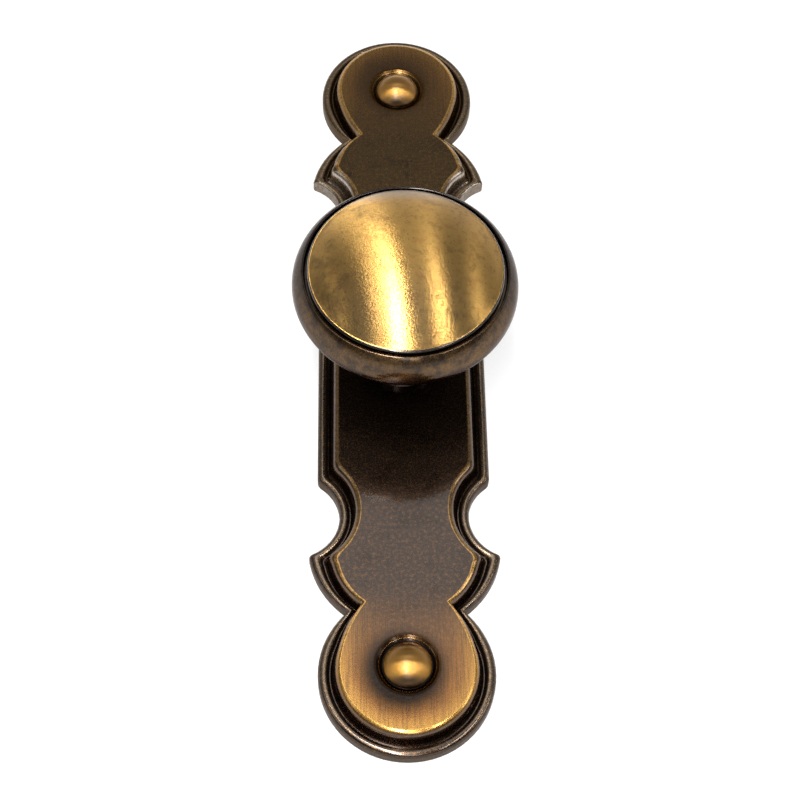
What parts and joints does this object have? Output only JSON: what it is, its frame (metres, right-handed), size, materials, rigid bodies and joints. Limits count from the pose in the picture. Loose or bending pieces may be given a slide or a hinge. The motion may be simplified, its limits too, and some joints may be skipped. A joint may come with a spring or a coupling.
{
  "type": "cabinet knob with backplate",
  "caption": "Round domed cabinet knob fixed upright on a long scalloped backplate with a moulded edge and a domed stud in each end lobe.",
  "frame": {"origin": "middle of the backplate's back face, on the knob's axis", "axes": "+Z out of the plate along the knob's axis, +Y along the plate's length, +X across it"},
  "size_m": [0.032, 0.1254, 0.0297],
  "materials": {
    "plate": "antique, dark patina with rubbed edges, lacquered",
    "knob": "antique, brushed dome and dark rim, lacquered",
    "studs": "polished, lacquered"
  },
  "bodies": {
    "root": {"backplate": "plate", "knob": "knob", "upper_stud": "studs", "lower_stud": "studs"}
  },
  "joints": []
}
